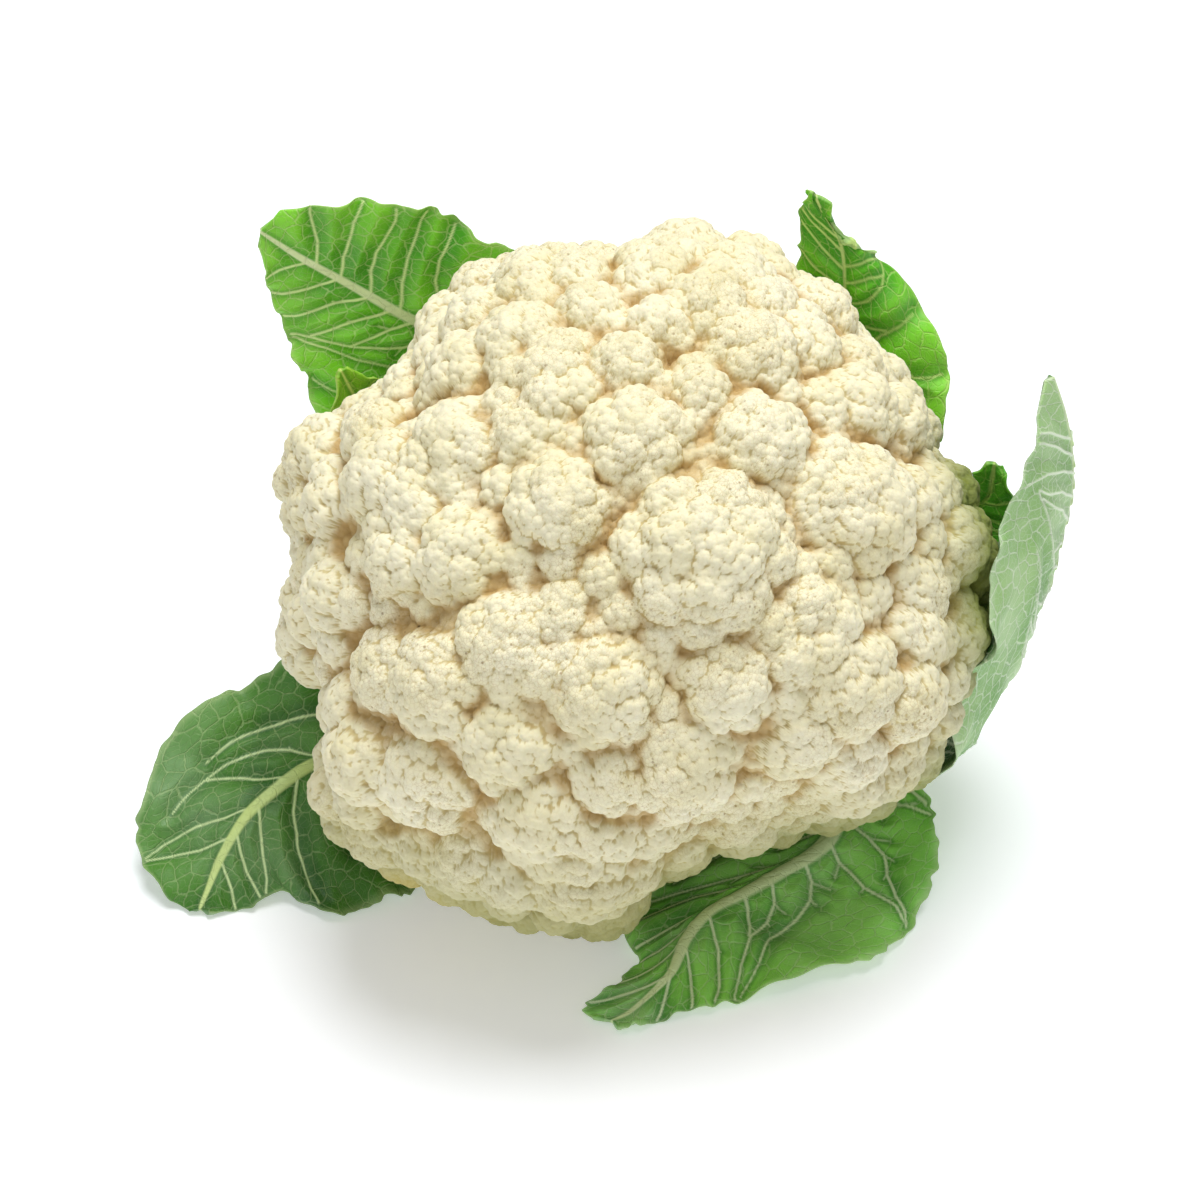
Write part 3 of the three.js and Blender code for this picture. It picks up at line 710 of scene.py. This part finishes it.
def make_leaf(name, leaf, look, seed):
    rng = np.random.default_rng(seed)
    points, normals, s, v, y, wide, across = fine_grid(leaf, LEAF_STEPS)
    x, q = abs(across), abs(v)[None]
    veins = side_veins(y, wide, rng, look["spacing"], look["veins"])
    distance, half, depth = nearest_vein(points, y, v, wide, veins)
    rib_half = look["rib"] / 2 * (1 - s) ** 0.8 + 0.35
    rib = smooth(rib_half + 0.35, rib_half - 0.25, x)
    vein = smooth(half + 0.22, half - 0.12, distance) * (1 - 0.2 * depth)
    between = np.minimum(distance, np.maximum(x - rib_half, 0))
    fade = smooth(0, 0.12, s) * smooth(1.0, 0.9, s)
    quilt = look["quilt"] * (1 - np.exp(-((between / QUILT_WIDTH) ** 2))) * fade
    flat = np.stack(np.broadcast_arrays(across, y[:, None], 0), -1)
    frill = look["frill"] * smooth(0.55, 1, q) * (value_noise(flat, FRILL_CELL, seed + 1) - 0.5) * 2 * fade
    billow = BILLOW * (value_noise(flat, BILLOW_CELL, seed + 2) - 0.5) * smooth(0.0, 0.3, q) * fade
    notches = sum(tall * (value_noise(flat * (0, 1, 0), cell, seed + k) - 0.5)
                  for k, (tall, cell) in enumerate(NOTCHES, 3))
    teeth = smooth(0.86, 1, q) * fade * notches
    outward = unit(np.gradient(points, axis=1)) * np.sign(v)[None, :, None]
    middle = points + outward * teeth[..., None] + normals * (quilt + frill + billow)[..., None]
    rim = RIM_SHARE + (1 - RIM_SHARE) * smooth(1.0, 0.9, q)
    body = half_thickness(leaf, s, x) * rim * BLADE_SHARE
    top = middle + normals * (body + VEIN_RELIEF[0] * vein)[..., None]
    bottom = middle - normals * (body + VEIN_RELIEF[1] * vein)[..., None]
    low = np.minimum(top, bottom)[..., 2]
    for face in (top, bottom):
        face[..., 2] += np.maximum(0, TABLE_GAP - low)
    mesh = shell_mesh(name, top, bottom)
    masks = dict(rib=rib, vein=vein, between=np.clip(between / 5, 0, 1), along=s, edge=smooth(0.93, 1.0, q))
    for key, values in masks.items():
        put_on_faces(mesh, key, values, x.shape)
    put(mesh, "under", np.repeat([0.0, 1.0], x.size))
    blade_uv(mesh, "blade", flat[..., :2] * METRE)
    add_piece(name + "_blade", mesh, name, leaf_material(name, look))


def shell_faces(rows, columns):
    """Quads of two facing grids of points and the rims that join them."""
    index = np.arange(rows * columns).reshape(rows, columns)
    a, b, c, d = index[:-1, :-1], index[1:, :-1], index[1:, 1:], index[:-1, 1:]
    top = np.stack([a, b, c, d], -1).reshape(-1, 4)
    far = rows * columns
    bottom = top[:, ::-1] + far
    ring = np.concatenate([index[:, 0][::-1], index[0, 1:], index[1:, -1], index[-1, -2:0:-1]])
    ring_next = np.roll(ring, -1)
    rim = np.stack([ring, ring_next, ring_next + far, ring + far], -1)
    return top, bottom, rim


def shell_mesh(name, top, bottom):
    """A closed blade from the grids of its two faces, facing out, with its own atlas for baking."""
    rows, columns = top.shape[:2]
    faces = np.concatenate(shell_faces(rows, columns))
    points = np.concatenate([top.reshape(-1, 3), bottom.reshape(-1, 3)])
    p = points[faces[: (rows - 1) * (columns - 1)]]
    normal = np.cross(p[:, 1] - p[:, 0], p[:, 2] - p[:, 0]).sum(0)
    if (normal * (top - bottom).sum((0, 1))).sum() < 0:
        faces = faces[:, ::-1]
    mesh = new_mesh(name, points, faces)
    u, w = np.meshgrid(np.linspace(0.01, 0.99, rows), np.linspace(0.01, 0.48, columns), indexing="ij")
    place = np.stack([u, w], -1).reshape(-1, 2)
    place = np.concatenate([place, place + (0, 0.5)])
    corners = place[faces]
    rim = np.arange(len(faces)) >= 2 * (rows - 1) * (columns - 1)
    corners[rim] = corners[rim] * (1, 0) + (0, 0.995)
    set_uv(mesh, "OFBake", corners.reshape(-1, 2))
    return mesh


def blade_uv(mesh, name, flat):
    """The flattened blade, in metres, for the net of fine veins."""
    flat = np.concatenate([flat.reshape(-1, 2)] * 2)
    loops = np.zeros(len(mesh.loops), np.int32)
    mesh.loops.foreach_get("vertex_index", loops)
    set_uv(mesh, name, flat[loops])


# ---- stalk and stumps ----

def head_point(around, radius, down):
    """A point beside the axis, given in degrees round it, distance from it and distance down it."""
    a = math.radians(around)
    return HEAD_CENTRE + radius * (math.cos(a) * SIDE + math.sin(a) * BACK) - down * AXIS


def stump_leaf(around, down, length, half):
    """The three curves of a stump, in the form that whole leaves have."""
    def curve(sense):
        line = []
        for s in (0, 0.33, 0.67, 1):
            radius = 24.8 + 0.8 * length * s
            turn = sense * math.degrees(half / radius) * (1 - 0.15 * s)
            line.append(head_point(around + turn, radius, down - 0.62 * length * s))
        return line
    return dict(left=curve(1), rib=curve(0), right=curve(-1), crown=(1, 1), wave=(0, 0, 0), ridge=(5, half),
                stump=True)


def make_stump(name, stump, seed):
    leaf = stump_leaf(*stump)
    points, normals, s, v, _, _, across = fine_grid(leaf, STUMP_STEPS)
    x, q = abs(across), abs(v)[None]
    body = half_thickness(leaf, s, x) * (RIM_SHARE + (1 - RIM_SHARE) * np.sqrt(np.maximum(0, 1 - q**6)))
    ribs = STRING_HEIGHT * np.cos(2 * math.pi * x / STRING_PITCH) * smooth(1, 0.7, q)
    torn = TEAR * (value_noise(np.stack(np.broadcast_arrays(across, 0, 0), -1), TEAR_CELL, seed) - 0.5)
    along = unit(np.gradient(points, axis=0))
    middle = points + along * (torn * smooth(0.9, 1, s))[..., None]
    mesh = shell_mesh(name, middle + normals * body[..., None], middle - normals * (body + ribs)[..., None])
    put_on_faces(mesh, "cut", smooth(0.965, 0.99, s), x.shape)
    add_piece(name + "_flesh", mesh, name, flesh_material("leaf_stump", STUMP_GREEN))


def make_stalk():
    """The cut main stalk: a flared top inside the curd, leaf scars and a flat foot on the table."""
    a = np.linspace(0, 2 * math.pi, 161)[None, :-1]
    radial = np.cos(a)[..., None] * SIDE + np.sin(a)[..., None] * BACK
    profile = [(2, STALK_TOP), (STALK_FLARE, STALK_TOP), (STALK_FLARE - 1, 64), (STALK_RADIUS + 1, 76),
               (STALK_RADIUS, STALK_NECK)]
    r, down = np.array(profile, float).T
    length = np.concatenate([[0], np.cumsum(np.hypot(np.diff(r), np.diff(down)))])
    t = np.linspace(0, length[-1], 80)
    flat = np.ones_like(a)
    share = np.linspace(0, 1, 71)[1:, None]
    end = (HEAD_CENTRE[2] + STALK_RADIUS * radial[..., 2]) / AXIS[2]
    r = np.concatenate([np.interp(t, length, r)[:, None] * flat, STALK_RADIUS * flat * np.ones_like(share)])
    below = STALK_NECK + share * (end - STALK_NECK)
    down = np.concatenate([np.interp(t, length, down)[:, None] * flat, below])
    scars = np.zeros(r.shape)
    for k in range(SCARS):
        place = (k * GOLDEN_ANGLE) % (2 * math.pi)
        off = (a - place + math.pi) % (2 * math.pi) - math.pi
        under = down - (FIRST_SCAR + SCAR_PITCH * k) + 2 * np.cos(off * 2)
        scars += np.exp(-((off * STALK_RADIUS / SCAR_WIDTH) ** 2) - (under / 1.6) ** 2)
    grow = np.where(r > STALK_RADIUS * 0.9, 0.9 * scars - 0.5, 0)
    points = HEAD_CENTRE + (r + grow)[..., None] * radial - down[..., None] * AXIS
    points[-1] -= points[-1, :, 2:] / AXIS[2] * AXIS
    points[..., 2] = np.maximum(points[..., 2], 0)
    middle = points[-1].mean(0)
    foot = [middle + (points[-1] - middle) * part for part in FOOT_RINGS]
    rings = np.concatenate([points, foot])
    rows, columns = rings.shape[:2]
    ends = [HEAD_CENTRE - STALK_TOP * AXIS, middle]
    mesh = new_mesh("stalk", np.concatenate([rings.reshape(-1, 3), ends]), ring_faces(rows, columns))
    cut = np.arange(rows) >= len(points)
    put(mesh, "cut", np.concatenate([np.repeat(cut, columns), [False, True]]).astype(float))
    add_piece("stalk_flesh", mesh, "stalk", flesh_material("stalk", STALK_GREEN))


def ring_faces(rows, columns):
    """Quads between rings of points, and caps from the end rings to the two points after them."""
    index = np.arange(rows * columns).reshape(rows, columns)
    after = np.roll(index, -1, axis=1)
    walls = np.stack([index[:-1], index[1:], after[1:], after[:-1]], -1).reshape(-1, 4)
    second = np.roll(index, -2, axis=1)
    top, foot = np.full(columns // 2, rows * columns), np.full(columns // 2, rows * columns + 1)
    caps = [np.stack([top, index[0, ::2], after[0, ::2], second[0, ::2]], -1),
            np.stack([foot, second[-1, ::2], after[-1, ::2], index[-1, ::2]], -1)]
    return np.concatenate([walls, *caps])


# ---- materials ----

class Nodes:
    """A short way to write a material's node tree."""

    def __init__(self, name):
        self.material = bpy.data.materials.new(name)
        self.material.use_nodes = True
        self.tree = self.material.node_tree
        self.shader = self.tree.nodes["Principled BSDF"]

    def node(self, kind, inputs, **settings):
        node = self.tree.nodes.new("ShaderNode" + kind)
        for key, value in settings.items():
            setattr(node, key, value)
        for key, value in inputs.items():
            self.set(node.inputs[key], value)
        return node

    def set(self, socket, value):
        if isinstance(value, bpy.types.NodeSocket):
            self.tree.links.new(value, socket)
        else:
            socket.default_value = value

    def attribute(self, name):
        return self.node("Attribute", {}, attribute_name=name).outputs["Fac"]

    def place(self):
        return self.node("TexCoord", {}).outputs["Object"]

    def noise(self, scale, detail=3, vector=None, roughness=0.5):
        return self.node("TexNoise", {"Vector": vector or self.place(), "Scale": scale, "Detail": detail,
                                      "Roughness": roughness}).outputs["Fac"]

    def cells(self, scale, feature="F1", vector=None, dimensions="3D"):
        inputs = {"Vector": vector or self.place(), "Scale": scale}
        node = self.node("TexVoronoi", inputs, feature=feature, voronoi_dimensions=dimensions)
        return node.outputs["Distance"]

    def times(self, a, b):
        return self.node("Math", {0: a, 1: b}, operation="MULTIPLY").outputs[0]

    def plus(self, a, b):
        return self.node("Math", {0: a, 1: b}, operation="ADD").outputs[0]

    def ramp(self, value, low, high, to_low=0.0, to_high=1.0):
        inputs = {"Value": value, "From Min": low, "From Max": high, "To Min": to_low, "To Max": to_high}
        return self.node("MapRange", inputs, interpolation_type="SMOOTHSTEP").outputs["Result"]

    def mix(self, share, a, b):
        return self.node("Mix", {0: share, 6: a, 7: b}, data_type="RGBA").outputs[2]

    def bump(self, height, distance, under=None):
        """A bump, on top of the one under it."""
        inputs = {"Height": height, "Distance": distance}
        if under:
            inputs["Normal"] = under
        return self.node("Bump", inputs).outputs["Normal"]

    def shade(self, values):
        for key, value in values.items():
            self.set(self.shader.inputs[key], value)
        return self.material


def colour(red, green, blue):
    """A colour given as 0 to 255 sRGB, as the shader wants it."""
    def linear(c):
        c /= 255
        return c / 12.92 if c <= 0.04045 else ((c + 0.055) / 1.055) ** 2.4
    return (linear(red), linear(green), linear(blue), 1)


def palette(**colours):
    return {key: colour(*rgb) for key, rgb in colours.items()}


# The colours for creases, gaps and hollows and the low colour are painted shade; the green colour is
# painted shade with the leaves' green light; the seam colour is partly painted shade.
CURD = palette(
    cream=(241, 234, 199), shade=(232, 224, 183), pale=(245, 239, 208), seam=(190, 166, 112),
    crease=(196, 176, 110), gap=(194, 166, 106), ochre=(212, 182, 120), brown=(170, 134, 74),
    speck=(142, 110, 60), low=(166, 164, 98), green=(122, 136, 46), aged=(214, 192, 104),
    stem=(222, 226, 178))
GRAINS = 950  # per metre


def curd_material():
    n = Nodes("curd")
    base = n.mix(n.attribute("tone"), CURD["cream"], CURD["shade"])
    base = n.mix(n.ramp(n.noise(55, 4), 0.35, 0.7), base, CURD["pale"])
    crumbly = n.ramp(n.noise(34, 3), 0.42, 0.66)
    # Tan lines between the grains: partly the curd's own colour, partly painted shade in the fine seams.
    seam = n.ramp(n.cells(GRAINS, "DISTANCE_TO_EDGE"), 0.08, 0.015)
    base = n.mix(n.times(seam, n.plus(n.times(crumbly, 0.4), 0.04)), base, CURD["seam"])
    # Painted shade in the narrow creases between buds.
    base = n.mix(n.times(n.ramp(n.attribute("crease"), 0.15, 0.8), 0.68), base, CURD["crease"])
    # Painted shade in the gaps between lobes.
    base = n.mix(n.times(n.ramp(n.attribute("gap"), 0.3, 1.0), 0.6), base, CURD["gap"])
    # Painted shade, ochre to brown, in the hollows between florets.
    deep = n.times(n.ramp(n.attribute("hollow"), 0.25, 0.75), n.ramp(n.noise(90, 3), 0.25, 0.65, 0.5, 1.0))
    base = n.mix(n.times(deep, 0.92), base, n.mix(n.noise(180, 3), CURD["ochre"], CURD["brown"]))
    specks = n.times(n.ramp(n.cells(420), 0.2, 0.08), crumbly)
    base = n.mix(n.times(specks, 0.65), base, CURD["speck"])
    # The low colour is painted shade towards the bottom, and the green colour is painted shade with the
    # leaves' green light; the aged and stem colours are the curd's own.
    for key, strength in dict(low=0.95, green=0.9, aged=0.8, stem=1.0).items():
        base = n.mix(n.times(n.attribute(key), strength), base, CURD[key])
    grain = n.cells(GRAINS)
    dome = n.times(n.times(grain, grain), -1.0)
    return n.shade({
        "Base Color": base, "Roughness": n.ramp(grain, 0.0, 0.8, 0.62, 0.8),
        "Normal": n.bump(dome, 0.00018), "Specular IOR Level": 0.3, "Subsurface Weight": 0.12,
        "Subsurface Radius": (1.0, 0.8, 0.45), "Subsurface Scale": 0.003})


def leaf_material(name, look):
    n = Nodes(name)
    look = {**look, **palette(**dict(zip(TINTS, look["tints"])))}
    flat = n.node("UVMap", {}, uv_map="blade").outputs["UV"]
    wander = n.node("TexNoise", {"Vector": flat, "Scale": 260.0, "Detail": 2.0}).outputs["Color"]
    wander = n.node("VectorMath", {0: wander, 1: (0.0022, 0.0022, 0)}, operation="MULTIPLY").outputs[0]
    flat = n.node("VectorMath", {0: flat, 1: wander}, operation="ADD").outputs[0]
    net = n.ramp(n.cells(250, "DISTANCE_TO_EDGE", flat, "2D"), 0.075, 0.02)
    fine_net = n.ramp(n.cells(640, "DISTANCE_TO_EDGE", flat, "2D"), 0.1, 0.02)
    blotch = n.ramp(n.noise(38, 4), 0.32, 0.68)
    top = n.mix(blotch, look["deep"], look["top"])
    # Painted shade: the blade is darker next to the veins where the puckers dip, with painted light making
    # it lighter in the puckers' middles.
    top = n.mix(n.ramp(n.attribute("between"), 0.35, 0.1, 0.0, 0.6), top, look["deep"])
    top = n.mix(n.ramp(n.attribute("between"), 0.4, 1.0, 0.0, 0.55), top, look["top"])
    bloom = n.times(n.ramp(n.noise(24, 5, roughness=0.65), 0.42, 0.72), look["bloom"])
    bloom = n.times(bloom, n.ramp(n.attribute("along"), 0.2, 0.8, 0.4, 1.3))
    top = n.mix(bloom, top, look["wax"])
    below = n.mix(blotch, look["under"], look["wax"])
    below = n.mix(n.ramp(n.attribute("along"), 0.6, 0.95, 0.0, 0.7), below, look["wax"])
    face = n.mix(n.attribute("under"), top, below)
    face = n.mix(n.times(fine_net, look["net"] * 0.4), face, look["vein"])
    face = n.mix(n.times(net, look["net"]), face, look["vein"])
    face = n.mix(n.attribute("vein"), face, look["vein"])
    face = n.mix(n.times(n.attribute("edge"), 0.3), face, look["vein"])
    face = n.mix(n.attribute("rib"), face, n.mix(n.noise(60, 3), look["midrib"], look["vein"]))
    sunken = n.bump(n.plus(n.times(net, 0.7), n.times(fine_net, 0.3)), -0.0002)
    return n.shade({
        "Base Color": face, "Roughness": n.ramp(n.noise(70, 4), 0.3, 0.7, 0.4, 0.58),
        "Normal": n.bump(n.noise(900, 3), 0.00008, sunken), "Specular IOR Level": 0.4})


STALK_GREEN = palette(skin=(206, 216, 160), pale=(228, 232, 196), line=(170, 188, 118))
STUMP_GREEN = palette(skin=(184, 205, 138), pale=(226, 232, 190), line=(140, 172, 92))


def flesh_material(name, look):
    n = Nodes(name)
    stretch = n.node("Mapping", {"Vector": n.place(), "Scale": (1.0, 1.0, 0.16)}).outputs[0]
    lines = n.noise(420, 3, stretch)
    base = n.mix(n.ramp(lines, 0.35, 0.7), look["skin"], look["line"])
    base = n.mix(n.ramp(n.noise(45, 4), 0.35, 0.7), base, look["pale"])
    bundles = n.ramp(n.cells(330), 0.3, 0.12)
    face = n.mix(n.times(bundles, 0.5), look["pale"], look["line"])
    base = n.mix(n.attribute("cut"), base, face)
    return n.shade({
        "Base Color": base, "Roughness": n.ramp(n.noise(120, 3), 0.3, 0.7, 0.42, 0.6),
        "Normal": n.bump(n.noise(1500, 3), 0.0001, n.bump(lines, 0.0003))})


# Each leaf's tints in sRGB, the share of waxy bloom, and then, in millimetres, the midrib's width, the
# side veins' spacing and width, the share of fine net that shows, and the heights of puckers and frill.
TINTS = ("top", "deep", "wax", "under", "vein", "midrib")
LEAF_LOOKS = {
    "lower_left_leaf": dict(
        tints=((78, 136, 42), (30, 88, 16), (146, 182, 130), (120, 158, 108),
               (208, 230, 168), (196, 216, 112)),
        bloom=0.35, rib=2.9, spacing=17, veins=0.9, net=0.2, quilt=2.2, frill=1.6),
    "lower_right_leaf": dict(
        tints=((150, 228, 96), (26, 124, 8), (184, 224, 158), (124, 164, 108),
               (226, 244, 196), (220, 236, 168)),
        bloom=0.38, rib=3.6, spacing=15, veins=1.0, net=0.24, quilt=2.3, frill=1.6),
    "right_tall_leaf": dict(
        tints=((84, 140, 66), (50, 104, 42), (172, 210, 138), (92, 158, 56),
               (238, 250, 222), (172, 210, 92)),
        bloom=0.38, rib=3.4, spacing=10, veins=1.0, net=0.5, quilt=1.2, frill=0.8),
    "right_small_leaf": dict(
        tints=((118, 214, 44), (62, 150, 18), (120, 170, 84), (112, 156, 84),
               (176, 214, 110), (176, 206, 114)),
        bloom=0.2, rib=2.2, spacing=10, veins=0.7, net=0.3, quilt=1.0, frill=1.2),
    "upper_right_leaf": dict(
        tints=((132, 228, 34), (50, 148, 8), (170, 216, 112), (196, 224, 168),
               (206, 236, 136), (214, 234, 150)),
        bloom=0.2, rib=3.0, spacing=11, veins=0.85, net=0.34, quilt=2.1, frill=2.4),
    "upper_left_leaf": dict(
        tints=((138, 226, 46), (52, 150, 10), (168, 218, 106), (132, 178, 98),
               (224, 246, 168), (238, 246, 206)),
        bloom=0.22, rib=5.4, spacing=13, veins=1.0, net=0.32, quilt=2.3, frill=1.4),
    "upper_left_small_leaf": dict(
        tints=((126, 190, 26), (70, 146, 14), (168, 206, 86), (150, 188, 88),
               (202, 230, 108), (212, 232, 134)),
        bloom=0.15, rib=2.4, spacing=8, veins=0.7, net=0.34, quilt=0.9, frill=1.2),
}


# ---- the studio ----

CAMERA_TARGET = Vector((0.00052, -0.00737, 0.0781))
CAMERA_RISE = math.radians(38)
CAMERA_DISTANCE = 0.9
CAMERA_LENS = 108
FLOOR_SIZE = 12
FLOOR_TINTS = (0.9, 0.92, 0.965, 1), (0.92, 0.94, 0.98, 1)
FLOOR_GLOW = 0.26  # stands for the white sweep's own light, which thins the shadow
WORLD_GLOW = 0.3
LIGHT_TARGET = Vector((0, 0, 0.06))
LIGHTS = {"overhead": ((0.12, 0.2, 1.5), 1.0, 19.5), "front": ((-0.3, -1.3, 0.9), 0.9, 3.4)}


def aim(item, place, direction):
    item.location = place
    item.rotation_mode = "QUATERNION"
    item.rotation_quaternion = direction.to_track_quat("-Z", "Y")


def make_camera():
    data = bpy.data.cameras.new("camera")
    data.lens = CAMERA_LENS
    data.sensor_width = 36
    camera = add_object("camera", data)
    back = Vector((0, -math.cos(CAMERA_RISE), math.sin(CAMERA_RISE)))
    aim(camera, CAMERA_TARGET + CAMERA_DISTANCE * back, -back)
    bpy.context.scene.camera = camera


def make_floor():
    half = FLOOR_SIZE / 2
    mesh = bpy.data.meshes.new("floor")
    corners = [(-half, -half, 0), (half, -half, 0), (half, half, 0), (-half, half, 0)]
    mesh.from_pydata(corners, [], [(0, 1, 2, 3)])
    n = Nodes("floor")
    mesh.materials.append(n.shade({
        "Base Color": n.mix(n.noise(3, 2), *FLOOR_TINTS), "Roughness": 0.6, "Specular IOR Level": 0.2,
        "Emission Color": (1, 1, 1, 1), "Emission Strength": FLOOR_GLOW}))
    add_object("floor", mesh)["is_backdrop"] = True


def make_lights():
    world = bpy.data.worlds.new("studio")
    world.use_nodes = True
    world.node_tree.nodes["Background"].inputs["Color"].default_value = (1, 1, 1, 1)
    world.node_tree.nodes["Background"].inputs["Strength"].default_value = WORLD_GLOW
    bpy.context.scene.world = world
    bpy.context.scene.view_settings.view_transform = "Standard"
    for name, (place, size, power) in LIGHTS.items():
        data = bpy.data.lights.new(name, "AREA")
        data.shape = "DISK"
        data.size = size
        data.energy = power
        aim(add_object(name, data), place, LIGHT_TARGET - Vector(place))


make_camera()
make_floor()
make_lights()
make_curd()
for order, (leaf_name, leaf_shape) in enumerate(LEAVES.items()):
    make_leaf(leaf_name, leaf_shape, LEAF_LOOKS[leaf_name], LEAF_SEED + 10 * order)
make_stalk()
for order, (stump_name, stump_sizes) in enumerate(STUMPS.items()):
    make_stump(stump_name, stump_sizes, STUMP_SEED + order)

[[list(corner) for corner in box] for box in (CAD_BOX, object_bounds())]
